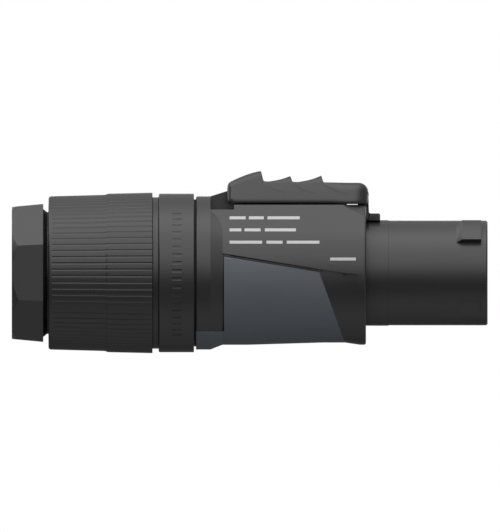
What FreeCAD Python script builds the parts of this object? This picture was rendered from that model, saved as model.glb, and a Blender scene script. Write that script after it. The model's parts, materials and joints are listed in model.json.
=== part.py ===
import FreeCAD, Part
import math
import os

# Locking power connector for the end of a cable.
# X runs along the connector from the cable entry to the mating end, and Z points up through
# the latch. The origin lies on the axis, at the mating shoulder. Lengths are in millimetres.

# Clearances
insert_gap = 0.1  # between pieces that sit still in each other
slide_gap = 0.25  # round pieces that slide on the housing
thread_gap = 0.3  # between the nut and what it turns on
stop_gap = 0.1  # between the latch and its forward stop
run_past = 1.0  # how far a cut runs past a face, or a piece into what it is joined to

# Mating barrel
barrel_radius = 9.79
barrel_length = 22.73
barrel_wall = 1.5
barrel_root_step = 0.09
barrel_root_length = 4.2
rim_chamfer = 0.25
mouth_depth = 5.0

# Bayonet lugs above and shallow recesses below, on both sides of the barrel
lug_height = 1.2
lug_length = 4.63
lug_setback = 1.2
lug_ramp = 1.1
lug_low_angle = 35.0
lug_high_angle = 64.0
recess_depth = 0.5
recess_high_angle = -31.0
recess_low_angle = -54.0

# Housing body
cavity_step = 1.91
body_wall = 3.24
body_length = 26.8
cone_length = 2.27
flange_length = 2.71
flange_wall = 2.73
flange_round = 0.25
flat_angle = 35.0
flat_drop = 0.69
shelf_drop = 0.9
shelf_length = 2.13
nose_radius_step = 0.36
nose_taper = 0.197
nose_length = 5.6
bore_depth = 14.5
spigot_length = 15.2
spigot_wall = 1.4
keyway_width = 2.3
keyway_depth = 0.7
keyway_room = 4.2

# Lower half of the body, which narrows towards the front and swells again at the lip
waist_step = 0.42
waist_start = 22.0
waist_end = 8.0
lip_start = 3.95
lip_length = 1.1
parting_back_z = 3.67
parting_mid_z = 0.745
parting_mid_x = -8.95
parting_front_z = -0.44
parting_front_x = -1.5

# Underside shell let into the body
shell_thickness = 1.24
shell_groove = 0.55
groove_depth = 0.65
shell_side_gap = 0.24
shell_joint = 0.03
shell_front_x = -4.0
shell_flange_z = -10.85

# Ramp block that fills the open back of the latch
ramp_half_width = 3.0
ramp_height = 3.9
ramp_slope_length = 4.47
ramp_length = 7.07

# Latch slide
latch_gap = 0.25
latch_setback = 3.14
latch_overhang = 0.58
latch_half_width = 7.21
latch_draft = 0.49
latch_wall = 0.85
latch_roof = 1.05
latch_roof_front = 1.35
latch_roof_slope = 0.35
latch_travel = 4.0
latch_nose_radius = 2.4
latch_nose_angles = (0, 30, 60, 85)
latch_nose_crease = 0.3
latch_tail_round = 0.35
tooth_setbacks = (6.38, 11.73, 17.61)
tooth_heights = (6.05, 5.1, 5.17)
tooth_creases = (3.6, 2.3, 2.3)
tooth_face = 0.5
valley_height = 4.05
valley_crease = 3.6
tail_height = 3.6
tail_crease = 2.2
shoulder_length = 3.5
shoulder_height = 5.3
scoop_sag = 0.35
plateau_height = 3.82
plateau_crease = 2.05
tongue_half_width = 3.0
tongue_thickness = 1.35
tongue_gap = 0.06
tongue_sink = 0.1
tongue_reach = 2.65
tongue_chamfer = 0.3
leg_length = 2.13
leg_half_width = 4.5
stem_half_width = 1.9
stem_front = 3.57
cross_wall = 1.0
stop_length = 0.8
stop_half_width = 3.0
stop_height = 1.0

# Latch spring
spring_radius = 0.9
spring_wire = 0.36
spring_turns = 6.0
spring_pressed_length = 2.6
spring_rise = 1.31
spring_pin_radius = 0.5
spring_pin_length = 1.0

# Contact carrier, contacts and terminals
carrier_flange = 5.5
carrier_lip = 1.2
carrier_seal_width = 1.6
carrier_seal_depth = 1.0
carrier_seal_setback = 0.5
contact_inset = 3.89
contact_spring = 0.7
contact_wall = 0.5
contact_length = 11.0
contact_floor = 1.0
blade_thickness = 1.2
blade_width = 4.6
earth_lead = 0.6
tail_thickness = 1.1
tail_width = 3.6
contact_angles = {"line": 210.0, "neutral": 330.0, "earth": 90.0}
block_length = 13.7
clamp_inset = 1.2
clamp_height = 5.0
clamp_width = 5.2
clamp_length = 8.0
clamp_floor = 0.3
clamp_window = 3.1
clamp_setback = 2.0
screw_radius = 1.45
screw_length = 4.0
screw_lift = 2.4
screw_slot_width = 0.5
screw_slot_depth = 0.7

# Rear nut
seal_gap = 0.37
ring_length = 6.62
land_length = 1.13
sleeve_length = 19.46
neck_length = 0.96
octagon_length = 5.89
nut_wall = 1.1
ring_seat_wall = 1.5
land_wall = 2.27
ring_wall = 1.43
ring_chamfer = 0.15
neck_radius = 11.4
neck_fillet = 0.4
octagon_sides = 8
octagon_back_half = 12.35
octagon_front_half = 12.9
octagon_chamfer_radius = 12.25
octagon_chamfer_slope = 1.0
cable_hole_radius = 8.4
cone_setback = 0.37
cone_end_radius = 9.0
seal_counterbore = 1.1

# Ribbed grip sleeve
sleeve_back_wall = 1.33
sleeve_mid_wall = 1.6
sleeve_step_wall = 1.82
sleeve_front_wall = 2.0
sleeve_step_start = 10.4
sleeve_step_length = 0.8
sleeve_chamfer = 0.35
sleeve_chamfer_length = 0.65
rib_count = 76
rib_groove_width = 0.4
rib_groove_depth = 0.2

# Cable chuck and seals
chuck_flange_length = 1.7
chuck_finger_count = 8
chuck_slot_width = 1.2
chuck_bore_radius = 8.0
chuck_finger_gap = 1.0
chuck_key_width = 1.8
chuck_key_height = 0.5
chuck_key_setback = 3.4
cable_seal_bore = 6.2
cable_seal_length = 12.8
cable_seal_setback = 0.5
body_seal_width = 1.0
body_seal_length = 1.2
body_seal_lip = 1.05
body_seal_touch = 0.03

# Stations along the axis
flange_front = -(body_length + cone_length)
flange_back = flange_front - flange_length
spigot_back = flange_back - spigot_length
shelf_front = flange_front + cone_length + shelf_length
nut_front = flange_back - seal_gap
ring_back = nut_front - ring_length
sleeve_front = ring_back - land_length
sleeve_back = sleeve_front - sleeve_length
octagon_front = sleeve_back - neck_length
nut_back = octagon_front - octagon_length
chuck_flange_front = spigot_back - thread_gap
chuck_flange_back = chuck_flange_front - chuck_flange_length
cone_start = chuck_flange_back - cone_setback
carrier_face = barrel_length - mouth_depth
block_front = -bore_depth - carrier_flange - insert_gap
block_back = block_front - block_length
chuck_key_front = block_back - chuck_key_setback

# Radii
barrel_bore = barrel_radius - barrel_wall
barrel_root_radius = barrel_radius + barrel_root_step
cavity_radius = barrel_bore + cavity_step
body_radius = cavity_radius + body_wall
spigot_radius = cavity_radius + spigot_wall
flange_radius = spigot_radius + flange_wall
waist_radius = body_radius - waist_step
shell_inner_radius = body_radius - shell_thickness
contact_radius = barrel_bore - contact_inset
contact_width = blade_width + 2 * contact_wall
contact_thickness = blade_thickness + 2 * contact_spring
clamp_inner_radius = contact_radius - clamp_inset
screw_tip_radius = clamp_inner_radius + screw_lift
nut_bore = spigot_radius + thread_gap
sleeve_seat = nut_bore + nut_wall
ring_seat = nut_bore + ring_seat_wall
land_radius = nut_bore + land_wall
ring_radius = ring_seat + ring_wall

# Heights under and in the latch
flat_tangent_y = body_radius * math.cos(math.radians(flat_angle))
flat_tangent_z = body_radius * math.sin(math.radians(flat_angle))
flat_top_z = body_radius - flat_drop
flat_top_y = flat_tangent_y - (flat_top_z - flat_tangent_z) * math.tan(math.radians(flat_angle))
shelf_z = flat_top_z - shelf_drop
latch_base_z = flat_top_z + latch_gap
latch_front = latch_overhang
latch_back = flange_front + latch_setback
plate_bottom = barrel_root_radius - tongue_sink
plate_top = plate_bottom + tongue_thickness
channel_floor = plate_bottom - slide_gap
channel_ceiling = plate_top + slide_gap
leg_back = latch_front - leg_length
ramp_front = flange_front + ramp_length
wall_back = ramp_front + spring_pressed_length + latch_travel
wall_front = wall_back + cross_wall
stop_back = wall_front + stop_gap
plate_slot_back = stop_back + stop_length + slide_gap
stem_back = plate_slot_back + slide_gap + latch_travel
spring_z = body_radius + spring_rise
reach = barrel_length - nut_back  # long enough to cut right through


def at(x, y, z):
    return FreeCAD.Vector(x, y, z)


axis_x = at(1, 0, 0)
centre = at(0, 0, 0)


def rod(x_start, x_end, radius):
    """Round bar along X."""
    return Part.makeCylinder(radius, x_end - x_start, at(x_start, 0, 0), axis_x)


def tube(x_start, x_end, outer, inner):
    """Round tube along X."""
    return rod(x_start, x_end, outer).cut(rod(x_start, x_end, inner))


def block(x_range, y_range, z_range):
    """Box between three pairs of coordinates."""
    low = at(x_range[0], y_range[0], z_range[0])
    sizes = (x_range[1] - x_range[0], y_range[1] - y_range[0], z_range[1] - z_range[0])
    return Part.makeBox(sizes[0], sizes[1], sizes[2], low)


def turned(points):
    """Solid of revolution about X, from an outline of (x, radius) points."""
    corners = [at(x, 0, radius) for x, radius in points]
    outline = Part.makePolygon(corners + corners[:1])
    return Part.Face(outline).revolve(centre, axis_x, 360)


def side_prism(points, half_width):
    """Outline of (x, z) points, extruded the same way to both sides."""
    corners = [at(x, -half_width, z) for x, z in points]
    outline = Part.makePolygon(corners + corners[:1])
    return Part.Face(outline).extrude(at(0, 2 * half_width, 0))


def long_prism(points, x_start, x_end):
    """Outline of (y, z) points, extruded along X."""
    corners = [at(x_start, y, z) for y, z in points]
    outline = Part.makePolygon(corners + corners[:1])
    return Part.Face(outline).extrude(at(x_end - x_start, 0, 0))


def turned_copy(shape, degrees):
    """The shape turned about X."""
    copy = shape.copy()
    copy.rotate(centre, axis_x, degrees)
    return copy


def both_sides(shape):
    """The shape and its mirror image across the middle plane."""
    return [shape, shape.mirror(centre, at(0, 1, 0))]


def radial(shape, angle):
    """Turns a shape that was drawn along +Z to an angle counted from +Y towards +Z."""
    return turned_copy(shape, angle - 90.0)


def save(name, shape):
    shape.exportStep(os.path.join("parts", name + ".step"))


# Housing

def sector(x_start, x_end, outer, inner, low_angle, high_angle):
    """Piece of a tube between two angles above the horizon, on the near side."""
    ring = tube(x_start, x_end, outer, inner)
    middle = math.radians((low_angle + high_angle) / 2)
    half = math.radians((high_angle - low_angle) / 2)
    far = 2 * outer
    corners = [(0.0, 0.0)]
    for angle in (middle - half, middle + half):
        corners.append((-far * math.cos(angle), far * math.sin(angle)))
    return ring.common(long_prism(corners, x_start, x_end))


def wedge(x_start, x_end, outer):
    """Cut that is deepest along its upper edge and runs out at its lower edge, on the near side."""
    corners = []
    for angle, radius in (
            (recess_high_angle, barrel_radius - recess_depth), (recess_low_angle, barrel_radius),
            (recess_low_angle, outer), (recess_high_angle, outer)):
        turn = math.radians(angle)
        corners.append((-radius * math.cos(turn), radius * math.sin(turn)))
    return long_prism(corners, x_start, x_end)


def barrel():
    front = barrel_length
    shape = turned([
        (-run_past, 0), (-run_past, barrel_root_radius), (barrel_root_length, barrel_root_radius),
        (barrel_root_length, barrel_radius), (front - rim_chamfer, barrel_radius),
        (front, barrel_radius - rim_chamfer), (front, 0),
    ])
    lug_front = front - lug_setback
    lug_back = lug_front - lug_length
    top = barrel_radius + lug_height
    root = barrel_radius - barrel_wall / 2
    lug = sector(lug_back, lug_front, top, root, lug_low_angle, lug_high_angle)
    ramp = turned([
        (lug_back, root), (lug_back, barrel_radius), (lug_back + lug_ramp, top),
        (lug_front, top), (lug_front, root),
    ])
    recess = wedge(lug_back, lug_front, top).common(turned([
        (lug_back, barrel_radius), (lug_back + lug_ramp, barrel_radius - recess_depth),
        (lug_front, barrel_radius - recess_depth), (lug_front, 2 * top), (lug_back, 2 * top),
    ]))
    for side in both_sides(lug.common(ramp)):
        shape = shape.fuse(side)
    for side in both_sides(recess):
        shape = shape.cut(side)
    return shape


def below_parting(z_shift):
    """Everything below the parting line of the body, seen from the side."""
    return side_prism([
        (-body_length, parting_back_z - z_shift), (parting_mid_x, parting_mid_z - z_shift),
        (parting_front_x, parting_front_z - z_shift), (0, parting_front_z - z_shift),
        (0, -reach), (-body_length, -reach),
    ], reach)


def lower_outline():
    """(x, radius) points of the lower half of the body, from the back to the lip."""
    return [
        (-body_length, body_radius), (-waist_start, body_radius),
        (-waist_end, waist_radius), (-lip_start, waist_radius), (-lip_length, body_radius),
    ]


def shell_zone(groove, side_gap, joint):
    """Side view of the underside shell, shrunk by the gaps along its edges."""
    slope = (parting_mid_z - parting_back_z) / (parting_mid_x + body_length)
    back_x = -body_length + side_gap
    back_z = parting_back_z + slope * side_gap - groove
    run = shell_front_x - parting_mid_x
    fall = parting_mid_z + waist_radius
    share = groove / (fall + slope * run)
    panel = side_prism([
        (back_x, back_z), (parting_mid_x + share * run - joint, parting_mid_z - share * fall),
        (shell_front_x - joint, -waist_radius), (shell_front_x - joint, -reach),
        (back_x, -reach),
    ], reach)
    flange = block((flange_back, back_x + run_past), (-reach, reach), (-reach, shell_flange_z - joint))
    return panel.fuse(flange)


def shell_layer(inner):
    """Ring of material under the surface of the flange, cone and lower body."""
    outline = [(flange_back, inner), (flange_back, flange_radius), (flange_front, flange_radius)]
    return turned(outline + lower_outline() + [(-lip_length, inner)])


def groove_layer():
    """Thin ring of material under the surface of the lower body, for the groove round the shell."""
    surface = lower_outline()
    return turned(surface + [(x, radius - groove_depth) for x, radius in reversed(surface)])


def latch_channels():
    """Cut-outs in the top of the body for the tongue's plate, stem and leg."""
    side = tongue_half_width + slide_gap
    leg_side = leg_half_width + slide_gap
    leg_slot_back = leg_back - latch_travel - slide_gap
    stem_side = stem_half_width + slide_gap
    plate = block((plate_slot_back, run_past), (-side, side), (channel_floor, channel_ceiling))
    stem = block((plate_slot_back, 0), (-stem_side, stem_side), (channel_floor, reach))
    leg = block((leg_slot_back, run_past), (-leg_side, leg_side), (channel_floor, reach))
    return plate.fuse(stem).fuse(leg)


def housing():
    bend = (1 - math.sqrt(0.5)) * flange_round
    body = turned([
        (flange_back, 0), (flange_back, flange_radius - flange_round),
        (flange_back + bend, flange_radius - bend), (flange_back + flange_round, flange_radius),
        (flange_front, flange_radius), (-body_length, body_radius), (0, body_radius), (0, 0),
    ])
    hips = long_prism([
        (-flat_tangent_y, flat_tangent_z), (-flat_top_y, flat_top_z),
        (flat_top_y, flat_top_z), (flat_tangent_y, flat_tangent_z),
    ], flange_front, 0)
    body = body.fuse(hips)
    nose = body_radius + nose_radius_step
    body = body.cut(turned([
        (0, nose), (-nose_length, nose + nose_taper * nose_length), (-nose_length, reach), (0, reach),
    ]))
    shelf = block((flange_front, shelf_front), (ramp_half_width, reach), (shelf_z, reach))
    for side in both_sides(shelf):
        body = body.cut(side)
    ramp_low = shelf_z - run_past
    ramp_top = shelf_z + ramp_height
    body = body.fuse(side_prism([
        (flange_front, ramp_low), (flange_front, flange_radius),
        (flange_front + ramp_slope_length, ramp_top), (ramp_front, ramp_top),
        (ramp_front, ramp_low),
    ], ramp_half_width))
    pin = rod(ramp_front - run_past, ramp_front + spring_pin_length, spring_pin_radius)
    pin.translate(at(0, 0, spring_z))
    body = body.fuse(pin)
    stop_top = body_radius + stop_height
    body = body.fuse(block(
        (stop_back, stop_back + stop_length), (-stop_half_width, stop_half_width),
        (flat_top_z - run_past, stop_top)))
    relief = turned(lower_outline() + [(-lip_length, reach), (-body_length, reach)])
    body = body.cut(relief.common(below_parting(0)))
    room = shell_zone(shell_groove - insert_gap, shell_side_gap - insert_gap, 0)
    body = body.cut(shell_layer(shell_inner_radius).common(room))
    body = body.cut(groove_layer().common(shell_zone(0, 0, 0)))
    body = body.fuse(rod(spigot_back, flange_back + run_past, spigot_radius))
    body = body.cut(latch_channels()).fuse(barrel())
    body = body.cut(rod(-bore_depth - run_past, reach, barrel_bore))
    body = body.cut(rod(-reach, -bore_depth, cavity_radius))
    key_top = cavity_radius + keyway_depth
    keyway = block(
        (spigot_back, chuck_key_front + keyway_room), (-keyway_width / 2, keyway_width / 2),
        (0, key_top))
    body = body.cut(keyway).cut(turned_copy(keyway, 180))
    return body.removeSplitter()


def underside_shell():
    zone = shell_zone(shell_groove, shell_side_gap, shell_joint)
    return shell_layer(shell_inner_radius + shell_joint).common(zone)


# Latch

def latch_section(x, height, crease, inset):
    """Cross-section of the latch: base, drafted sides up to a crease, and an arched top."""
    base = latch_half_width - inset
    side = base - latch_draft * crease
    low = latch_base_z
    left = at(x, -side, low + crease)
    right = at(x, side, low + crease)
    arch = Part.Arc(left, at(x, 0, low + height), right).toShape()
    edges = [
        Part.makeLine(at(x, -base, low), left), arch,
        Part.makeLine(right, at(x, base, low)), Part.makeLine(at(x, base, low), at(x, -base, low)),
    ]
    return Part.Wire(edges)


def latch_sections():
    """Sections from the tail over the three thumb scales to the rounded nose."""
    tail = latch_back
    sections = [
        latch_section(tail, tail_height - latch_tail_round, tail_crease, latch_tail_round),
        latch_section(tail + latch_tail_round, tail_height, tail_crease, 0),
        latch_section(tail + shoulder_length, shoulder_height, tooth_creases[0], 0),
    ]
    for index, (setback, height, crease) in enumerate(zip(tooth_setbacks, tooth_heights, tooth_creases)):
        peak_x = latch_back + setback
        if index:
            middle = (sections[-1].BoundBox.XMin + peak_x) / 2
            rise = (valley_height + height) / 2 - scoop_sag
            sections.append(latch_section(middle, rise, (valley_crease + crease) / 2, 0))
        sections.append(latch_section(peak_x, height, crease, 0))
        sections.append(latch_section(peak_x + tooth_face, valley_height, valley_crease, 0))
    nose_start = latch_front - latch_nose_radius
    for angle in latch_nose_angles:
        across = latch_nose_radius * math.sin(math.radians(angle))
        drop = latch_nose_radius * (1 - math.cos(math.radians(angle)))
        crease = min(plateau_crease, plateau_height - drop - latch_nose_crease)
        sections.append(latch_section(nose_start + across, plateau_height - drop, crease, drop))
    return sections


def latch_hollow(x_start, x_end, roof_thickness, fall):
    """Space inside the latch between two stations, with a roof that falls towards the tail."""
    low = latch_base_z - run_past
    roof = latch_base_z + valley_height - roof_thickness
    top = ramp_half_width + slide_gap
    shoulder = latch_base_z + latch_wall
    side = latch_half_width - latch_wall - latch_draft * latch_wall
    base = side + latch_draft * (shoulder - low)
    across = long_prism([
        (-base, low), (-side, shoulder), (-top, roof), (top, roof), (side, shoulder), (base, low),
    ], x_start, x_end)
    along = side_prism([
        (x_start, low), (x_start, roof - fall), (x_start + ramp_slope_length / 2, roof),
        (x_end, roof), (x_end, low),
    ], reach)
    return across.common(along)


def latch_slide():
    shape = Part.makeLoft(latch_sections(), True, True)
    shape = shape.cut(latch_hollow(latch_back - run_past, wall_back, latch_roof, latch_roof_slope))
    shape = shape.cut(latch_hollow(wall_front, leg_back, latch_roof_front, 0))
    wall_foot = body_radius + thread_gap
    shape = shape.cut(block((wall_back, wall_front), (-reach, reach), (-reach, wall_foot)))
    roof = latch_base_z + valley_height - latch_roof / 2
    side = leg_half_width
    shape = shape.fuse(block(
        (stem_back, -stem_front), (-stem_half_width, stem_half_width), (plate_bottom, roof)))
    shape = shape.fuse(block(
        (leg_back, latch_front), (-side, side), (plate_bottom, latch_base_z + run_past)))
    plate = side_prism([
        (stem_back, plate_bottom), (stem_back, plate_top),
        (tongue_reach - tongue_chamfer, plate_top), (tongue_reach, plate_top - tongue_chamfer),
        (tongue_reach, plate_bottom),
    ], tongue_half_width)
    saddle = rod(stem_back - run_past, tongue_reach + run_past, barrel_root_radius + tongue_gap)
    pin = rod(wall_back - spring_pin_length, wall_back + cross_wall / 2, spring_pin_radius)
    pin.translate(at(0, 0, spring_z))
    return shape.fuse(plate).cut(saddle).fuse(pin).removeSplitter()


def latch_spring():
    """Coil between the ramp block and the latch's cross wall."""
    room = wall_back - ramp_front - 2 * stop_gap - spring_wire
    coil = Part.makeHelix(room / spring_turns, room, spring_radius)
    circle = Part.Wire(Part.makeCircle(spring_wire / 2, at(spring_radius, 0, 0), at(0, 1, 0)))
    spring = Part.Wire(coil.Edges).makePipeShell([circle], True, True)
    spring.rotate(centre, at(0, 1, 0), 90)
    spring.translate(at(ramp_front + stop_gap + spring_wire / 2, 0, spring_z))
    return spring


# Contacts and terminals, each drawn along +Z and then turned to its place

def contact_front(name):
    return carrier_face - carrier_lip - (0 if name == "earth" else earth_lead)


def bar(x_start, x_end, width, low, high):
    """Flat bar along X, between two distances from the axis."""
    return block((x_start, x_end), (-width / 2, width / 2), (low, high))


def contact(name):
    front = contact_front(name)
    back = front - contact_length
    low = contact_radius - contact_thickness / 2
    high = contact_radius + contact_thickness / 2
    receptacle = bar(back, front, contact_width, low, high)
    slot_low = contact_radius - blade_thickness / 2
    slot = bar(back + contact_floor, front + run_past, blade_width, slot_low, slot_low + blade_thickness)
    tail_low = clamp_inner_radius + clamp_floor + insert_gap
    tail_end = block_back + clamp_setback
    tail = bar(tail_end, back + contact_floor, tail_width, tail_low, tail_low + tail_thickness)
    return radial(receptacle.fuse(tail).cut(slot), contact_angles[name])


def contact_carrier():
    radius = barrel_bore - insert_gap
    shape = rod(-bore_depth, carrier_face, radius)
    shape = shape.fuse(rod(block_front + insert_gap, -bore_depth, cavity_radius - insert_gap))
    seal_front = carrier_face - carrier_seal_setback
    seal_back = seal_front - carrier_seal_width
    shape = shape.cut(tube(seal_back, seal_front, reach, radius - carrier_seal_depth))
    low = contact_radius - contact_thickness / 2 - insert_gap
    high = contact_radius + contact_thickness / 2 + insert_gap
    window_low = contact_radius - blade_thickness / 2 - insert_gap
    window_high = contact_radius + blade_thickness / 2 + insert_gap
    for name, angle in contact_angles.items():
        pocket = bar(-reach, contact_front(name) + insert_gap, contact_width + 2 * insert_gap, low, high)
        window = bar(0, reach, blade_width + 2 * insert_gap, window_low, window_high)
        shape = shape.cut(radial(pocket.fuse(window), angle))
    return shape


def carrier_seal():
    front = carrier_face - carrier_seal_setback - insert_gap
    back = front - carrier_seal_width + 2 * insert_gap
    outer = barrel_bore - insert_gap / 2
    inner = barrel_bore - carrier_seal_depth
    return tube(back, front, outer, inner)


def terminal_block():
    shape = rod(block_back, block_front, cavity_radius - insert_gap)
    low = clamp_inner_radius - insert_gap
    high = clamp_inner_radius + clamp_height + insert_gap
    pocket_front = block_back + clamp_setback + clamp_length + insert_gap
    tail_low = clamp_inner_radius + clamp_floor
    tail_high = tail_low + tail_thickness + 2 * insert_gap
    screw_x = block_back + clamp_setback + clamp_length / 2
    for angle in contact_angles.values():
        pocket = bar(-reach, pocket_front, clamp_width + 2 * insert_gap, low, high)
        tail_slot = bar(-reach, reach, tail_width + 2 * insert_gap, tail_low, tail_high)
        access = Part.makeCylinder(screw_radius + insert_gap, reach, at(screw_x, 0, high - run_past))
        shape = shape.cut(radial(pocket.fuse(tail_slot).fuse(access), angle))
    return shape


def clamp(name):
    back = block_back + clamp_setback
    low = clamp_inner_radius
    cage = bar(back, back + clamp_length, clamp_width, low, low + clamp_height)
    window_low = low + clamp_floor
    window_width = tail_width + 2 * insert_gap
    window = bar(-reach, reach, window_width, window_low, window_low + clamp_window)
    hole = Part.makeCylinder(
        screw_radius + insert_gap / 2, reach, at(back + clamp_length / 2, 0, window_low))
    return radial(cage.cut(window).cut(hole), contact_angles[name])


def terminal_screws():
    x = block_back + clamp_setback + clamp_length / 2
    screw = Part.makeCylinder(screw_radius, screw_length, at(x, 0, screw_tip_radius))
    top = screw_tip_radius + screw_length
    half = screw_slot_width / 2
    slot = block((x - 2 * screw_radius, x + 2 * screw_radius), (-half, half),
                 (top - screw_slot_depth, top + run_past))
    screw = screw.cut(slot)
    return Part.makeCompound([radial(screw, angle) for angle in contact_angles.values()])


# Rear nut, grip, ring and cable grip

def octagon(x, half):
    """Regular polygon across X, with a flat facing the side."""
    corner = half / math.cos(math.pi / octagon_sides)
    corners = []
    for index in range(octagon_sides):
        angle = math.pi * (2 * index + 1) / octagon_sides
        corners.append(at(x, corner * math.cos(angle), corner * math.sin(angle)))
    return Part.makePolygon(corners + corners[:1])


def nut_cone_radius(x):
    """Inner radius of the nut's cone at a station between the thread and the cable hole."""
    share = (cone_start - x) / (cone_start - octagon_front)
    return nut_bore + (cone_end_radius - nut_bore) * share


def gland_nut():
    end = Part.makeLoft(
        [octagon(nut_back, octagon_back_half), octagon(octagon_front, octagon_front_half)], True, True)
    widen = octagon_chamfer_radius + octagon_chamfer_slope * octagon_length
    end = end.common(turned([
        (nut_back, 0), (nut_back, octagon_chamfer_radius), (octagon_front, widen), (octagon_front, 0)]))
    core = turned([
        (octagon_front - run_past, 0), (octagon_front - run_past, neck_radius + neck_fillet),
        (octagon_front, neck_radius + neck_fillet), (octagon_front + neck_fillet, neck_radius),
        (sleeve_back, neck_radius), (sleeve_back, sleeve_seat), (sleeve_front, sleeve_seat),
        (sleeve_front, land_radius), (ring_back, land_radius), (ring_back, ring_seat),
        (nut_front, ring_seat), (nut_front, 0),
    ])
    seal_radius = spigot_radius + insert_gap + body_seal_width + thread_gap
    hole = turned([
        (nut_back, 0), (nut_back, cable_hole_radius), (octagon_front, cable_hole_radius),
        (octagon_front, cone_end_radius), (cone_start, nut_bore),
        (nut_front - seal_counterbore, nut_bore), (nut_front - seal_counterbore, seal_radius),
        (nut_front, seal_radius), (nut_front, 0),
    ])
    return end.fuse(core).cut(hole).removeSplitter()


def grip_sleeve():
    step_start = sleeve_back + sleeve_step_start
    step_end = step_start + sleeve_step_length
    back = sleeve_seat + sleeve_back_wall
    front = sleeve_seat + sleeve_front_wall
    shape = turned([
        (sleeve_back, sleeve_seat), (sleeve_back, back - sleeve_chamfer),
        (sleeve_back + sleeve_chamfer_length, back), (step_start, sleeve_seat + sleeve_mid_wall),
        (step_end, sleeve_seat + sleeve_step_wall), (sleeve_front - sleeve_chamfer, front),
        (sleeve_front, front - sleeve_chamfer), (sleeve_front, sleeve_seat),
    ])
    groove = side_prism([
        (sleeve_back + sleeve_chamfer_length, back - rib_groove_depth),
        (sleeve_front + run_past, front - rib_groove_depth), (sleeve_front + run_past, front + run_past),
        (sleeve_back + sleeve_chamfer_length, front + run_past),
    ], rib_groove_width / 2)
    grooves = [turned_copy(groove, 360.0 * index / rib_count) for index in range(rib_count)]
    return shape.cut(Part.makeCompound(grooves))


def collar_ring():
    return turned([
        (ring_back, ring_seat), (ring_back, ring_radius - ring_chamfer),
        (ring_back + ring_chamfer, ring_radius), (nut_front - ring_chamfer, ring_radius),
        (nut_front, ring_radius - ring_chamfer), (nut_front, ring_seat),
    ])


def cable_chuck():
    finger_back = octagon_front + chuck_finger_gap
    tube_radius = cavity_radius - thread_gap
    flange = nut_bore - thread_gap - insert_gap
    shape = turned([
        (finger_back, 0), (finger_back, nut_cone_radius(finger_back) - thread_gap),
        (cone_start, flange), (chuck_flange_front, flange), (chuck_flange_front, tube_radius),
        (block_back - stop_gap, tube_radius), (block_back - stop_gap, 0),
    ])
    key = block(
        (chuck_flange_back, chuck_key_front),
        (-chuck_key_width / 2, chuck_key_width / 2), (0, tube_radius + chuck_key_height))
    shape = shape.fuse(key).fuse(turned_copy(key, 180))
    shape = shape.cut(rod(-reach, reach, chuck_bore_radius))
    half = chuck_slot_width / 2
    slot = block((finger_back - run_past, chuck_flange_back), (-half, half), (0, reach))
    slots = [turned_copy(slot, 360.0 * i / chuck_finger_count) for i in range(chuck_finger_count)]
    return shape.cut(Part.makeCompound(slots))


def cable_seal():
    back = octagon_front + chuck_finger_gap + cable_seal_setback
    return tube(back, back + cable_seal_length, chuck_bore_radius - insert_gap, cable_seal_bore)


def body_seal():
    inner = spigot_radius + insert_gap
    outer = inner + body_seal_width
    ring = tube(flange_back - body_seal_length, flange_back, outer, inner)
    lip = tube(nut_front + body_seal_touch, flange_back, outer + body_seal_lip, inner)
    return ring.fuse(lip).removeSplitter()


def main():
    os.makedirs("parts", exist_ok=True)
    save("housing", housing())
    save("underside_shell", underside_shell())
    save("latch_slide", latch_slide())
    save("latch_spring", latch_spring())
    save("contact_carrier", contact_carrier())
    save("carrier_seal", carrier_seal())
    save("terminal_block", terminal_block())
    save("terminal_screws", terminal_screws())
    for name in contact_angles:
        save(name + "_contact", contact(name))
        save(name + "_clamp", clamp(name))
    save("gland_nut", gland_nut())
    save("grip_sleeve", grip_sleeve())
    save("collar_ring", collar_ring())
    save("cable_chuck", cable_chuck())
    save("cable_seal", cable_seal())
    save("body_seal", body_seal())


main()
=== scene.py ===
import json
import math

import bmesh
import bpy
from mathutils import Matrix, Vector


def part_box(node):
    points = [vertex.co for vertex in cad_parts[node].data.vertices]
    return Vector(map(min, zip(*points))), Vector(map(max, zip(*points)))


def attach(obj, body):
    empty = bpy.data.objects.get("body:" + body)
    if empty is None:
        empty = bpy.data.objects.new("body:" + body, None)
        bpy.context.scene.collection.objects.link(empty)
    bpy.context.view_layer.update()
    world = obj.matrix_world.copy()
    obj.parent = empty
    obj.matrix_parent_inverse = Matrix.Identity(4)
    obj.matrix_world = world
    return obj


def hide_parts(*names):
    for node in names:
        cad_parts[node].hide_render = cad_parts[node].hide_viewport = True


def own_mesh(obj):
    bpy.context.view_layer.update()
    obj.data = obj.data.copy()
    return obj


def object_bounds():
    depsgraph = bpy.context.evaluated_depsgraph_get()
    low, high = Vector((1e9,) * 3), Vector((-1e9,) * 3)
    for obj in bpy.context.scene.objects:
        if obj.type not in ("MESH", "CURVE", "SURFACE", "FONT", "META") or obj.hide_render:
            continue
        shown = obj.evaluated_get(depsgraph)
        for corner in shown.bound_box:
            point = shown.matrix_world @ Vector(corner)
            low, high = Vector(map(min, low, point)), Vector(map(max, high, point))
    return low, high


bl_info = {
    "name": "Locking Power Connector",
    "version": (1, 0, 0),
    "blender": (4, 5, 0),
    "location": "View3D > Sidebar > Connector",
    "description": "Builds the looks of a locking power connector round its packed frame",
    "category": "Object",
}

MM = 0.001
CENTRE = Vector((0, 0, 0))
AXIS = Vector((1, 0, 0))
ACROSS = Vector((0, 1, 0))
TURN = 2 * math.pi

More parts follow.
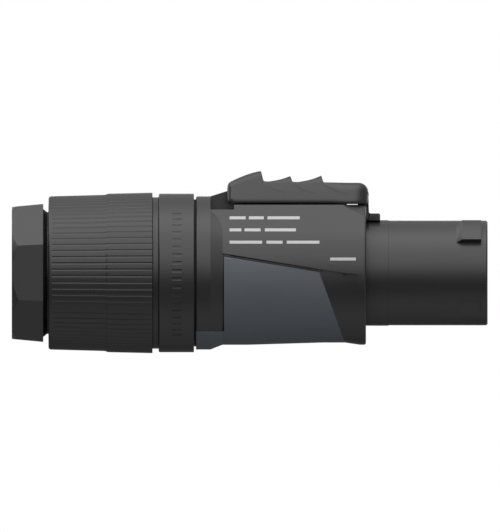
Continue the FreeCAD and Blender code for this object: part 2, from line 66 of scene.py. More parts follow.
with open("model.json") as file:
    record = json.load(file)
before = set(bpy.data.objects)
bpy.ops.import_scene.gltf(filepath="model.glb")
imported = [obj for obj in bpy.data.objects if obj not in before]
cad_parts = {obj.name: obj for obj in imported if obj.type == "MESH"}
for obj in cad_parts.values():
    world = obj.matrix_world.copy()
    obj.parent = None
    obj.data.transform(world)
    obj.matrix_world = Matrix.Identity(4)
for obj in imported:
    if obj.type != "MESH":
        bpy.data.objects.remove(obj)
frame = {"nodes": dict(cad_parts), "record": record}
cad_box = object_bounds()

# Body and material slot that the record gives each node
BODIES = {
    node: body for body, nodes in frame["record"]["behaviour"]["bodies"].items() for node in nodes}
SLOTS = {part["node"]: part["material_slot"] for part in frame["record"]["subparts"]}


def length(name, description, default):
    """A size that a user may change, in metres."""
    return bpy.props.FloatProperty(
        name=name, description=description, default=default, unit="LENGTH", precision=5)


def colour(name, description, default):
    """A surface colour that a user may change."""
    return bpy.props.FloatVectorProperty(
        name=name, description=description, default=default, subtype="COLOR", min=0, max=1, size=3)


class ConnectorSizes(bpy.types.PropertyGroup):
    """Sizes of the details that the frame leaves plain"""

    edge_round: length("Edge round", "Rounding of the moulded edges", 0.08 * MM)
    shoulder_round: length("Shoulder round", "Rounding of the body's front edge", 0.42 * MM)
    inner_round: length("Inner edge round", "Rounding of the inner pieces' edges", 0.08 * MM)
    seal_round: length("Seal round", "Rounding of the edges of the body seal", 0.03 * MM)
    rib_groove: length("Rib groove", "Width of the grooves between the grip's ribs", 0.5 * MM)
    rib_depth: length("Rib depth", "Depth of the grooves between the grip's ribs", 0.075 * MM)
    rib_count: bpy.props.IntProperty(
        name="Ribs", description="Ribs round the grip sleeve", default=76, min=8, max=200)
    thread_pitch: length("Thread pitch", "Pitch of the thread on the spigot", 2.0 * MM)
    thread_height: length("Thread height", "Height of the thread on the spigot", 0.2 * MM)
    tick_depth: length("Tick depth", "Depth of the marks on the collar ring", 0.12 * MM)
    ink_height: length("Ink height", "Height of the printed bars", 0.55 * MM)
    ink_lift: length("Ink lift", "Thickness of the printed bars", 0.015 * MM)


class ConnectorColours(bpy.types.PropertyGroup):
    """Colours of the finishes"""

    body: colour("Body", "Dark moulded plastic", (0.015, 0.015, 0.0152))
    slate: colour("Slate", "Blue-grey cover under the body", (0.094, 0.106, 0.119))
    grip: colour("Grip", "Ribbed sleeve", (0.014, 0.014, 0.0142))
    ink: colour("Ink", "Printed bars", (0.42, 0.42, 0.42))
    insulator: colour("Insulator", "Contact carrier and terminal block", (0.012, 0.012, 0.0125))
    nylon: colour("Nylon", "Cable chuck", (0.52, 0.51, 0.47))
    rubber: colour("Rubber", "Seals", (0.02, 0.02, 0.02))
    brass: colour("Brass", "Contacts", (0.62, 0.46, 0.20))
    steel: colour("Steel", "Screws, clamps and spring", (0.55, 0.55, 0.54))
    floor: colour("Floor", "Studio floor", (0.85, 0.85, 0.85))


# Materials

# Noise, in features to a metre
FLOW_MARKS = 90
FINE_GRAIN = 9000
RUBBER_MOTTLE = 2500
DRAWN_LINES = 6000
PATINA = 400
INK_GRAIN = 5000
FLOOR_GRAIN = 30
# Levels between which most of a noise lies
NOISE_LOW = 0.3
NOISE_HIGH = 0.7

# Tone, roughness and specular level of the plastics
BODY_PLASTIC = ("body", 0.32, 0.5)
PLASTICS = {
    "slate_plastic": ("slate", 0.42, 0.12),
    "grip_plastic": ("grip", 0.34, 0.5),
    "insulator_plastic": ("insulator", 0.36, 0.5),
    "chuck_plastic": ("nylon", 0.4, 0.5),
}
# Tone and roughness of the metals
METALS = {
    "contact_brass": ("brass", 0.28),
    "clamp_steel": ("steel", 0.3),
    "plated_steel": ("steel", 0.3),
}


def shader(name):
    """A new material, its node tree, its shader and its Object coordinates."""
    material = bpy.data.materials.new(name)
    material.use_nodes = True
    tree = material.node_tree
    principled = tree.nodes["Principled BSDF"]
    coordinates = tree.nodes.new("ShaderNodeTexCoord")
    return material, tree, principled, coordinates.outputs["Object"]


def noise(tree, spot, scale, detail=3):
    """Noise over Object coordinates; scale is in features to a metre."""
    node = tree.nodes.new("ShaderNodeTexNoise")
    node.inputs["Scale"].default_value = scale
    node.inputs["Detail"].default_value = detail
    tree.links.new(spot, node.inputs["Vector"])
    return node.outputs["Fac"]


def remap(tree, value, low, high, to_low=0, to_high=1, easing="LINEAR"):
    """Maps one span of values to another."""
    node = tree.nodes.new("ShaderNodeMapRange")
    node.interpolation_type = easing
    for name, level in zip(("From Min", "From Max", "To Min", "To Max"), (low, high, to_low, to_high)):
        node.inputs[name].default_value = level
    tree.links.new(value, node.inputs["Value"])
    return node.outputs["Result"]


def spread(tree, factor, low, high):
    """Spreads a noise between two values."""
    return remap(tree, factor, NOISE_LOW, NOISE_HIGH, low, high)


def mix(tree, factor, first, second):
    """Mix of two colours, each a tuple or a socket."""
    node = tree.nodes.new("ShaderNodeMix")
    node.data_type = "RGBA"
    tree.links.new(factor, node.inputs["Factor"])
    for side, tone in (("A", first), ("B", second)):
        if isinstance(tone, tuple):
            node.inputs[side].default_value = (*tone, 1)
        else:
            tree.links.new(tone, node.inputs[side])
    return node.outputs["Result"]


def tint(tree, factor, base, vary):
    """Varies a colour a little up and down by a factor."""
    ends = [tuple(level * share for level in base) for share in (1 - vary, 1 + vary)]
    return mix(tree, factor, *ends)


def relief(tree, factor, distance, strength):
    """Small relief of the surface's normal."""
    node = tree.nodes.new("ShaderNodeBump")
    node.inputs["Distance"].default_value = distance
    node.inputs["Strength"].default_value = strength
    tree.links.new(factor, node.inputs["Height"])
    return node.outputs["Normal"]


def feed(tree, principled, **sockets):
    """Links sockets to a shader's inputs of the same names."""
    for name, socket in sockets.items():
        tree.links.new(socket, principled.inputs[name.replace("_", " ")])


def moulded_plastic(name, base, roughness, specular):
    """Moulded plastic with a fine spark-eroded grain and faint flow marks."""
    material, tree, principled, spot = shader(name)
    flow = noise(tree, spot, FLOW_MARKS, detail=4)
    fine = noise(tree, spot, FINE_GRAIN, detail=2)
    uneven = 0.03
    feed(
        tree, principled, Base_Color=tint(tree, flow, base, vary=0.07),
        Roughness=spread(tree, flow, roughness - uneven, roughness + uneven),
        Normal=relief(tree, fine, distance=0.02 * MM, strength=0.2))
    principled.inputs["Specular IOR Level"].default_value = specular
    return material


def rubber(name, base):
    """Matt rubber with a mottled surface."""
    material, tree, principled, spot = shader(name)
    mottle = noise(tree, spot, RUBBER_MOTTLE, detail=4)
    feed(
        tree, principled, Base_Color=tint(tree, mottle, base, vary=0.25),
        Roughness=spread(tree, mottle, low=0.7, high=0.85),
        Normal=relief(tree, mottle, distance=0.03 * MM, strength=0.3))
    principled.inputs["Specular IOR Level"].default_value = 0.3
    return material


def metal(name, base, roughness):
    """Drawn or plated metal with fine lines along the connector."""
    material, tree, principled, spot = shader(name)
    stretch = tree.nodes.new("ShaderNodeMapping")
    stretch.inputs["Scale"].default_value = (0.05, 1, 1)
    tree.links.new(spot, stretch.inputs["Vector"])
    lines = noise(tree, stretch.outputs["Vector"], DRAWN_LINES)
    patina = noise(tree, spot, PATINA)
    uneven = 0.08
    feed(
        tree, principled, Base_Color=tint(tree, patina, base, vary=0.12),
        Roughness=spread(tree, lines, roughness - uneven, roughness + uneven),
        Normal=relief(tree, lines, distance=0.01 * MM, strength=0.25))
    principled.inputs["Metallic"].default_value = 1
    return material


def ink(name, base):
    """Pad-printed ink, slightly uneven."""
    material, tree, principled, spot = shader(name)
    grain = noise(tree, spot, INK_GRAIN)
    feed(
        tree, principled, Base_Color=tint(tree, grain, base, vary=0.1),
        Roughness=spread(tree, grain, low=0.5, high=0.6))
    return material


def finish_of(slot):
    """The finish for a slot, made the first time it is asked for."""
    name = slot + "_finish"
    if name in bpy.data.materials:
        return bpy.data.materials[name]
    tones = bpy.context.scene.connector_colours
    if slot == "seal_rubber":
        return rubber(name, tones.rubber)
    if slot == "ink":
        return ink(name, tones.ink)
    if slot in METALS:
        tone, roughness = METALS[slot]
        return metal(name, getattr(tones, tone), roughness)
    tone, roughness, specular = PLASTICS.get(slot, BODY_PLASTIC)
    return moulded_plastic(name, getattr(tones, tone), roughness, specular)


# Shapes

# Steps round a full turn
ROUND_STEPS = 96
# Points nearer than this are joined up, and faces that turn by less are made one
MERGE_DISTANCE = 0.002 * MM
FLAT_LIMIT = math.radians(0.5)
# Creases that turn by more than this, between faces of at least this width, stay crisp
CREASE_LIMIT = math.radians(12)
CREASE_WIDTH = 0.15 * MM


def outline_loop(bm, outline):
    """Vertices and edges of a closed outline of (x, radius) points over the axis."""
    verts = [bm.verts.new((x, 0, radius)) for x, radius in outline]
    edges = [bm.edges.new(pair) for pair in zip(verts, verts[1:] + verts[:1])]
    return verts, edges


def turned(outline, steps=ROUND_STEPS):
    """Closed shape of revolution about X, from a closed outline of (x, radius) points."""
    bm = bmesh.new()
    verts, edges = outline_loop(bm, outline)
    bmesh.ops.spin(
        bm, geom=verts + edges, cent=CENTRE, axis=AXIS, angle=TURN, steps=steps, use_merge=True)
    bmesh.ops.recalc_face_normals(bm, faces=bm.faces)
    return bm


def slab(low, high):
    """Closed box between two corners."""
    bm = bmesh.new()
    bmesh.ops.create_cube(bm, size=1)
    middle = (Vector(low) + Vector(high)) / 2
    bmesh.ops.scale(bm, vec=Vector(high) - Vector(low), verts=bm.verts)
    bmesh.ops.translate(bm, vec=middle, verts=bm.verts)
    return bm


def turns_past(edge, limit):
    """Whether the two faces at an edge turn by more than a limit."""
    return len(edge.link_faces) == 2 and edge.calc_face_angle() > limit


def round_edges(bm, offset, segments=2, angle=28, keep=None):
    """Rounds every edge that turns by more than an angle in degrees, but for those to keep."""
    limit = math.radians(angle)
    sharp = [edge for edge in bm.edges if turns_past(edge, limit)]
    if keep:
        sharp = [edge for edge in sharp if not keep(edge)]
    bevel(bm, sharp, offset, segments)


def bevel(bm, edges, offset, segments):
    """Rounds some edges."""
    bmesh.ops.bevel(
        bm, geom=edges, offset=offset, offset_type="OFFSET", affect="EDGES", segments=segments,
        profile=0.5, material=-1, clamp_overlap=True, loop_slide=True)


def width_of(face):
    """Rough width of a face: its area over its longest edge."""
    return face.calc_area() / max(edge.calc_length() for edge in face.edges)


def mark_creases(bm, crisp):
    """Keeps crisp the creases between wide faces, and those that a test picks."""
    for edge in bm.edges:
        if turns_past(edge, CREASE_LIMIT):
            narrowest = min(width_of(face) for face in edge.link_faces)
            edge.smooth = narrowest < CREASE_WIDTH and not crisp(edge)


def merged_copy(node):
    """The node's mesh with its triangles joined up and its flat faces made whole."""
    bm = bmesh.new()
    bm.from_mesh(frame["nodes"][node].data)
    bmesh.ops.remove_doubles(bm, verts=bm.verts, dist=MERGE_DISTANCE)
    bmesh.ops.dissolve_limit(
        bm, angle_limit=FLAT_LIMIT, verts=bm.verts, edges=bm.edges,
        use_dissolve_boundaries=False, delimit={"NORMAL"})
    return bm


def scratch(bm):
    """A passing object that holds a shape."""
    mesh = bpy.data.meshes.new("scratch")
    bm.to_mesh(mesh)
    bm.free()
    obj = bpy.data.objects.new("scratch", mesh)
    bpy.context.scene.collection.objects.link(obj)
    return obj


def boolean(base, tool, operation):
    """Joins or cuts two closed shapes."""
    target = scratch(base)
    other = scratch(tool)
    step = target.modifiers.new("step", "BOOLEAN")
    step.operation = operation
    step.solver = "EXACT"
    step.object = other
    depsgraph = bpy.context.evaluated_depsgraph_get()
    mesh = bpy.data.meshes.new_from_object(target.evaluated_get(depsgraph))
    result = bmesh.new()
    result.from_mesh(mesh)
    for obj in (target, other):
        data = obj.data
        bpy.data.objects.remove(obj)
        bpy.data.meshes.remove(data)
    bpy.data.meshes.remove(mesh)
    return result


def place(bm, name, body, slot, *nodes):
    """Makes a piece of a shape: smooth faces, finish, body and the nodes it stands for."""
    if not bm.faces:
        raise RuntimeError(name + " has no faces")
    for face in bm.faces:
        face.smooth = True
    mesh = bpy.data.meshes.new(name)
    bm.to_mesh(mesh)
    bm.free()
    piece = bpy.data.objects.new(name, mesh)
    bpy.context.scene.collection.objects.link(piece)
    weights = piece.modifiers.new("even normals", "WEIGHTED_NORMAL")
    weights.keep_sharp = True
    mesh.materials.append(finish_of(slot))
    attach(piece, body)
    if nodes:
        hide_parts(*nodes)
    return piece


def rounded_node(node, offset):
    """Replaces a node by a copy with rounded edges."""
    bm = merged_copy(node)
    round_edges(bm, offset)
    place(bm, node + "_moulded", BODIES[node], SLOTS[node], node)


# Latch

LATCH_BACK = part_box("latch_slide")[0].x
LATCH_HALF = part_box("latch_slide")[1].y
LATCH_HEIGHT = 6.05 * MM
LATCH_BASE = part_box("latch_slide")[1].z - LATCH_HEIGHT
LATCH_DRAFT = 0.45
LATCH_LEAN = math.atan(LATCH_DRAFT)
CREASE = 2.35 * MM
TAIL_ROUND = 0.7 * MM
TAIL_DRAFT = 0.06
TAIL_LENGTH = 11 * MM
SCALE_DRAFT = 0.11
SHOULDER_ROUND = 1.7 * MM
VALLEY_ROUND = 0.4 * MM
# Largest rounding of a low shoulder, as a share of its height over the crease
ROUND_SHARE = 1.2
FOOT_ROUND = 1.2 * MM
FOOT_TURN = math.radians(22)
RIDGE_ROUND = 0.12 * MM
RIDGE_EASE = 0.3 * RIDGE_ROUND

# Steps across half a flat top, round a shoulder, round a foot and along a scale
TOP_STEPS = 3
SHOULDER_STEPS = 3
FOOT_STEPS = 6
SCALE_STEPS = 10
# Tenths of the way from a shoulder down a plain side
SIDE_TENTHS = range(4, 11)
# Angles along the crease that runs forward and down a side from each foot
CREASE_TURNS = (66, 54, 44, 34, 24, 12, 0)

# Places along the latch's tail and how far its sides lie in there: a round lip, then a groove
TAIL_LIP = (
    (0, 0.3 * MM), (0.05 * MM, 0.13 * MM), (0.12 * MM, 0.05 * MM), (0.22 * MM, 0.01 * MM),
    (0.32 * MM, 0), (0.38 * MM, 0.25 * MM), (0.5 * MM, 0.32 * MM), (0.62 * MM, 0.25 * MM))

# Places along the latch from its back, and heights over its base
TAIL_HEIGHT = 3.77 * MM
PEAKS = ((6.32 * MM, LATCH_HEIGHT), (11.82 * MM, 5.1 * MM), (17.6 * MM, 5.17 * MM))
FEET = ((6.8 * MM, 4.15 * MM), (12.2 * MM, 4.05 * MM), (17.98 * MM, 3.95 * MM))
CAP_BOW = 1.42
SCALE_BOW = 2.1
VALLEY_DIP = 0.06 * MM
CREASE_LENGTH = 4.6 * MM
CREASE_DROP = 1.9 * MM
CREASE_FALL = 0.06
CREASE_BOW = 2.6
CREASE_BACK = 0.25 * MM
CREASE_UNDER = 0.31 * MM
SWELL = 0.12 * MM
SWELL_LENGTH = 4.6 * MM
SWELL_RISE = 8
# How near the last two rows of a scale come to its ridge's line
NEAR_RIDGE = 0.96
AT_RIDGE = 0.98

# Rows down a step's face: shares of the way from its ridge to its foot, and how far forward
STEP_FILLET = 0.2 * MM
STEP_ROWS = (
    (0.07, 0), (0.45, 0), (0.84, 0), (0.94, 0.02 * MM), (0.985, 0.08 * MM), (1, STEP_FILLET))

# Flat front part and nose
NOSE_START = 22.85 * MM
NOSE_HEIGHT = 3.86 * MM
NOSE_LENGTH = 3.6 * MM
NOSE_INSET = 3.3 * MM
NOSE_ROUND = 1.9 * MM
NOSE_SHOULDER = 2.1 * MM
NOSE_CREASE_FALL = 0.75
NOSE_SINK = 0.13 * MM
SINK_START = 19.5 * MM
SINK_LENGTH = 2.5 * MM
FRONT_SHARES = (0.76, 0.84, 0.92, 1)
NOSE_TURNS = (9, 18, 26, 33, 40, 47, 54, 61, 68, 75, 82, 90)

# Hollow under the latch and the wall across it
HOLLOW_WALL = 1.05 * MM
HOLLOW_TOP = 3.25 * MM
HOLLOW_ROOF = LATCH_BASE + 2.85 * MM
HOLLOW_PAST = 1 * MM
CROSS_WALL = LATCH_BACK + 10.53 * MM
CROSS_THICKNESS = 1 * MM
# Room under that wall
ROOM_TOP = 13.74 * MM
ROOM_HALF = 5 * MM
ROOM_PAST = 0.2 * MM
# Stem between the roof and the tongue, sunk into both
STEM_BACK = -8.9 * MM
STEM_FRONT = -3.57 * MM
STEM_HALF = 1.9 * MM
STEM_SUNK = 0.4 * MM
# Round cut that clears the barrel
SADDLE_BACK = -10 * MM
SADDLE_FRONT = 4 * MM
SADDLE_RADIUS = 9.94 * MM
SADDLE_BORE = 0.5 * MM

# Leg under the nose, which leans back from a height over its foot
LEG_BACK = -1.55 * MM
LEG_FRONT = 0.58 * MM
LEG_HALF = 4.5 * MM
LEG_TOP = LATCH_BASE + 1.2 * MM
LEG_LEAN = 0.12 * MM
LEG_LEAN_START = 1.4 * MM
LEG_ROUND = 0.35 * MM

# Tongue across the foot of the leg
TONGUE_BACK = -9 * MM
TONGUE_HALF = 3 * MM
TONGUE_HEIGHT = 1.35 * MM
TONGUE_FILLET = 0.28 * MM
FILLET_MIDDLE = 0.29 * TONGUE_FILLET
TONGUE_CHAMFER = 0.22 * MM
TONGUE_ROUND = 0.05 * MM
# How far the fillet starts inside the leg, at its back and at its front
FILLET_BACK = 0.5 * MM
FILLET_FRONT = 0.05 * MM


def side_at(along, height):
    """Half width of the latch's drafted sides at a place along it and a height."""
    draft = LATCH_DRAFT + TAIL_DRAFT * max(0, 1 - along / TAIL_LENGTH)
    return LATCH_HALF - draft * height


def skirt(along, crease, inset):
    """Lower end of a half row: down the drafted side from the crease and round the foot."""
    sink = NOSE_SINK * min(1, max(0, along - SINK_START) / SINK_LENGTH)
    top = FOOT_ROUND * (math.sin(FOOT_TURN) + math.sin(LATCH_LEAN)) - sink
    points = []
    for share in (0.33, 0.67):
        height = crease + (top - crease) * share
        points.append((along, side_at(along, height) - inset, height))
    middle = side_at(along, top) - inset - FOOT_ROUND * math.cos(LATCH_LEAN)
    for step in range(FOOT_STEPS + 1):
        turn = LATCH_LEAN - (LATCH_LEAN + FOOT_TURN) * step / FOOT_STEPS
        height = FOOT_ROUND * (math.sin(FOOT_TURN) + math.sin(turn)) - sink
        points.append((along, middle + FOOT_ROUND * math.cos(turn), height))
    return points


def swell_at(foot, along):
    """How far the scale in front of a numbered foot stands out of the side at a place along it."""
    if foot is None:
        return 0.0
    share = max(0, along - FEET[foot][0]) / SWELL_LENGTH
    return SWELL * min(1, SWELL_RISE * share) * max(0, 1 - share ** 2)


def shoulder_of(height, rounding):
    """Height at which the rounded shoulder of a top runs into the side."""
    return height - rounding * (1 - math.sin(LATCH_LEAN))


def crease_line(foot):
    """Points (along, height) of the crease that runs forward and down from a numbered foot."""
    along, height = FEET[foot]
    points = []
    for angle in CREASE_TURNS:
        turn = math.radians(angle)
        forward = CREASE_LENGTH * math.cos(turn) ** CREASE_BOW
        down = CREASE_DROP * (1 - math.sin(turn) ** CREASE_BOW) + CREASE_FALL * forward
        points.append((along + forward, height - down))
    return points


def ridge_line(number):
    """Points just behind and under a crease, where the scale behind it ends."""
    return [(along - CREASE_BACK, height - CREASE_UNDER) for along, height in crease_line(number)]


def plain_line(along, height, rounding, crease):
    """Points straight down a side."""
    shoulder = shoulder_of(height, rounding)
    return [(along, shoulder + (crease - shoulder) * tenth / 10) for tenth in SIDE_TENTHS]


def mixed_line(first, second, share):
    """Points a share of the way from one line to another."""
    line = []
    for (along, height), (other_along, other_height) in zip(first, second):
        line.append((along + (other_along - along) * share, height + (other_height - height) * share))
    return line


def scale_row(along, height, rounding, line, foot=None, inset=0.0):
    """Half row over a flat top and its round shoulder to a line down the side."""
    shoulder = shoulder_of(height, rounding)
    turn = math.pi / 2 - LATCH_LEAN
    lean = 0 if foot is None else SCALE_DRAFT
    out = swell_at(foot, along) - inset
    flat = side_at(along, shoulder) + out - lean * (shoulder - CREASE) - rounding * math.sin(turn)
    row = [(along, flat * step / TOP_STEPS, height) for step in range(TOP_STEPS + 1)]
    for step in range(1, SHOULDER_STEPS + 1):
        bend = turn * step / SHOULDER_STEPS
        row.append((along, flat + rounding * math.sin(bend), height - rounding * (1 - math.cos(bend))))
    spot, level = line[0]
    upper = []
    for share in (0.25, 0.5, 0.75):
        upper.append((along + (spot - along) * share, shoulder + (level - shoulder) * share))
    for spot, level in upper + line:
        out = swell_at(foot, spot) - inset - lean * max(0, level - CREASE)
        row.append((spot, side_at(spot, level) + out, level))
    return row + skirt(spot, level, inset)


def mixed_row(first, second, share, forward):
    """Half row a share of the way from one to another, moved forward a little."""
    row = []
    for one, other in zip(first, second):
        along, across, height = (start + (end - start) * share for start, end in zip(one, other))
        row.append((along + forward, across, height))
    return row


def step_rows(ridge, foot):
    """Half rows down the face of a step, from its rounded ridge to the fillet at its foot."""
    return [mixed_row(ridge, foot, share, forward) for share, forward in STEP_ROWS]


def cap_height(along):
    """Height of the first scale, which rises from the tail and levels out at its ridge."""
    return TAIL_HEIGHT + (LATCH_HEIGHT - TAIL_HEIGHT) * (1 - (1 - along / PEAKS[0][0]) ** CAP_BOW)


def cap_rows():
    """Half rows of the lipped tail and the first scale, up to its ridge."""
    peak, height = PEAKS[0]
    rows = []
    for along, inset in TAIL_LIP:
        drop = TAIL_ROUND - math.sqrt(TAIL_ROUND ** 2 - (TAIL_ROUND - along) ** 2)
        top = cap_height(along) - drop
        rounding = min(SHOULDER_ROUND, ROUND_SHARE * (top - CREASE))
        line = plain_line(along, top, rounding, CREASE)
        rows.append(scale_row(along, top, rounding, line, None, inset))
    tail = plain_line(TAIL_ROUND, cap_height(TAIL_ROUND), SHOULDER_ROUND, CREASE)
    for step in range(SCALE_STEPS + 1):
        share = step / SCALE_STEPS
        along = TAIL_ROUND + (peak - RIDGE_ROUND - TAIL_ROUND) * share
        line = mixed_line(tail, ridge_line(0), NEAR_RIDGE * share)
        rows.append(scale_row(along, cap_height(along), SHOULDER_ROUND, line))
    line = mixed_line(tail, ridge_line(0), AT_RIDGE)
    rows.append(scale_row(peak - RIDGE_EASE, height - RIDGE_EASE, SHOULDER_ROUND, line))
    return rows


def scale_rows(number):
    """Half rows of a hollowed scale, from the foot behind it to its ridge."""
    foot = number - 1
    start, low = FEET[foot]
    peak, top = PEAKS[number]
    rows = []
    for step in range(1, SCALE_STEPS + 1):
        share = step / SCALE_STEPS
        along = start + STEP_FILLET + (peak - RIDGE_ROUND - start - STEP_FILLET) * share
        dip = VALLEY_DIP * math.sin(math.pi * min(1, 3 * share))
        height = low - dip + (top - low) * share ** SCALE_BOW
        rounding = VALLEY_ROUND + (SHOULDER_ROUND - VALLEY_ROUND) * share
        line = mixed_line(crease_line(foot), ridge_line(number), NEAR_RIDGE * share)
        rows.append(scale_row(along, height, rounding, line, foot))
    line = mixed_line(crease_line(foot), ridge_line(number), AT_RIDGE)
    rows.append(scale_row(peak - RIDGE_EASE, top - RIDGE_EASE, SHOULDER_ROUND, line, foot))
    return rows


def nose_rows():
    """Half rows of the flat front part and the rounded nose."""
    start, low = FEET[2]
    front = plain_line(NOSE_START, NOSE_HEIGHT, NOSE_SHOULDER, CREASE)
    rows = []
    for share in FRONT_SHARES:
        along = start + (NOSE_START - start) * share
        height = NOSE_HEIGHT + (low - NOSE_HEIGHT) * (1 - share)
        rounding = VALLEY_ROUND + (NOSE_SHOULDER - VALLEY_ROUND) * share
        rows.append(scale_row(along, height, rounding, mixed_line(crease_line(2), front, share), 2))
    for angle in NOSE_TURNS:
        turn = math.radians(angle)
        along = NOSE_LENGTH * math.sin(turn)
        rise = max(0, along - NOSE_LENGTH + NOSE_ROUND)
        drop = NOSE_ROUND - math.sqrt(max(0, NOSE_ROUND ** 2 - rise ** 2))
        height = NOSE_HEIGHT - drop
        crease = CREASE - NOSE_CREASE_FALL * drop
        rounding = min(NOSE_SHOULDER, ROUND_SHARE * (height - crease))
        line = plain_line(NOSE_START + along, height, rounding, crease)
        rows.append(scale_row(
            NOSE_START + along, height, rounding, line, 2, NOSE_INSET * (1 - math.cos(turn))))
    return rows


def latch_rows():
    """Half rows of the whole latch, from its tail to its nose."""
    ridges = []
    feet = []
    for number in range(3):
        behind = number - 1 if number else None
        ridges.append(scale_row(*PEAKS[number], SHOULDER_ROUND, ridge_line(number), behind))
        feet.append(scale_row(*FEET[number], VALLEY_ROUND, crease_line(number), number))
    rows = cap_rows()
    rows += step_rows(ridges[0], feet[0])
    for number in (1, 2):
        rows += scale_rows(number) + step_rows(ridges[number], feet[number])
    return rows + nose_rows()


def latch_arch(bm, row):
    """Points of one cross-section, from a half row and its mirror image."""
    points = [(along, -across, height) for along, across, height in reversed(row)]
    points += row[1:]
    return [bm.verts.new((LATCH_BACK + x, y, LATCH_BASE + z)) for x, y, z in points]


def latch_block():
    """Outside of the latch as one closed shape."""
    bm = bmesh.new()
    arches = [latch_arch(bm, row) for row in latch_rows()]
    chains = [[bm.edges.new(pair) for pair in zip(arch, arch[1:])] for arch in arches]
    for back, front in zip(chains, chains[1:]):
        bmesh.ops.bridge_loops(bm, edges=back + front)
    for back, front in zip(arches, arches[1:]):
        bm.faces.new((back[0], front[0], front[-1], back[-1]))
    bm.faces.new(arches[0])
    bm.faces.new(arches[-1])
    bmesh.ops.recalc_face_normals(bm, faces=bm.faces)
    return bm


def prism(points, depth, axis):
    """Closed prism: a flat outline, drawn out along an axis."""
    bm = bmesh.new()
    face = bm.faces.new([bm.verts.new(point) for point in points])
    swept = bmesh.ops.extrude_face_region(bm, geom=[face])
    moved = [part for part in swept["geom"] if isinstance(part, bmesh.types.BMVert)]
    bmesh.ops.translate(bm, vec=axis * depth, verts=moved)
    bmesh.ops.recalc_face_normals(bm, faces=bm.faces)
    return bm


def latch_hollow(start, end):
    """Space inside the latch between two places along X."""
    low = LATCH_BASE - HOLLOW_PAST
    bend = LATCH_BASE + HOLLOW_WALL
    side = LATCH_HALF - LATCH_DRAFT * HOLLOW_WALL - HOLLOW_WALL
    base = side + LATCH_DRAFT * (HOLLOW_WALL + HOLLOW_PAST)
    points = [
        (start, -base, low), (start, -side, bend), (start, -HOLLOW_TOP, HOLLOW_ROOF),
        (start, HOLLOW_TOP, HOLLOW_ROOF), (start, side, bend), (start, base, low)]
    return prism(points, end - start, AXIS)


def latch_leg():
    """Leg under the nose, leaning back a little at its top."""
    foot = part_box("latch_slide")[0].z
    outline = [
        (LEG_BACK, foot), (LEG_BACK, LEG_TOP), (LEG_FRONT - LEG_LEAN, LEG_TOP),
        (LEG_FRONT, foot + LEG_LEAN_START), (LEG_FRONT, foot)]
    bm = prism([(x, -LEG_HALF, z) for x, z in outline], 2 * LEG_HALF, ACROSS)
    round_edges(bm, LEG_ROUND, segments=3, angle=50)
    return bm


def latch_tongue():
    """Locking tongue across the foot of the leg, with a fillet against it."""
    low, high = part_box("latch_slide")
    top = low.z + TONGUE_HEIGHT
    back = LEG_BACK + FILLET_BACK
    outline = [
        (TONGUE_BACK, low.z), (TONGUE_BACK, top), (back, top), (back, top + TONGUE_FILLET),
        (LEG_FRONT - FILLET_FRONT, top + TONGUE_FILLET),
        (LEG_FRONT + FILLET_MIDDLE, top + FILLET_MIDDLE),
        (LEG_FRONT + TONGUE_FILLET, top), (high.x - TONGUE_CHAMFER, top),
        (high.x, top - TONGUE_CHAMFER), (high.x, low.z)]
    bm = prism([(x, -TONGUE_HALF, z) for x, z in outline], 2 * TONGUE_HALF, ACROSS)
    round_edges(bm, TONGUE_ROUND, segments=1, angle=50)
    return bm


class CONNECTOR_OT_latch(bpy.types.Operator):
    """Build the thumb latch with its scales, nose, leg and tongue"""

    bl_idname = "connector.latch"
    bl_label = "Latch"

    def execute(self, context):
        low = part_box("latch_slide")[0].z
        wall_end = CROSS_WALL + CROSS_THICKNESS
        room = slab(
            (CROSS_WALL - ROOM_PAST, -ROOM_HALF, low), (wall_end + ROOM_PAST, ROOM_HALF, ROOM_TOP))
        stem = slab(
            (STEM_BACK, -STEM_HALF, low + STEM_SUNK), (STEM_FRONT, STEM_HALF, HOLLOW_ROOF + STEM_SUNK))
        saddle = turned([
            (SADDLE_BACK, SADDLE_BORE), (SADDLE_BACK, SADDLE_RADIUS),
            (SADDLE_FRONT, SADDLE_RADIUS), (SADDLE_FRONT, SADDLE_BORE)])
        back = latch_hollow(LATCH_BACK - HOLLOW_PAST, CROSS_WALL)
        front = latch_hollow(wall_end, LEG_BACK)
        bm = latch_block()
        for tool in (back, front, room):
            bm = boolean(bm, tool, "DIFFERENCE")
        for tool in (latch_leg(), latch_tongue(), stem):
            bm = boolean(bm, tool, "UNION")
        bm = boolean(bm, saddle, "DIFFERENCE")
        place(bm, "latch_thumb_slide", "latch", "latch_plastic", "latch_slide")
        return {"FINISHED"}


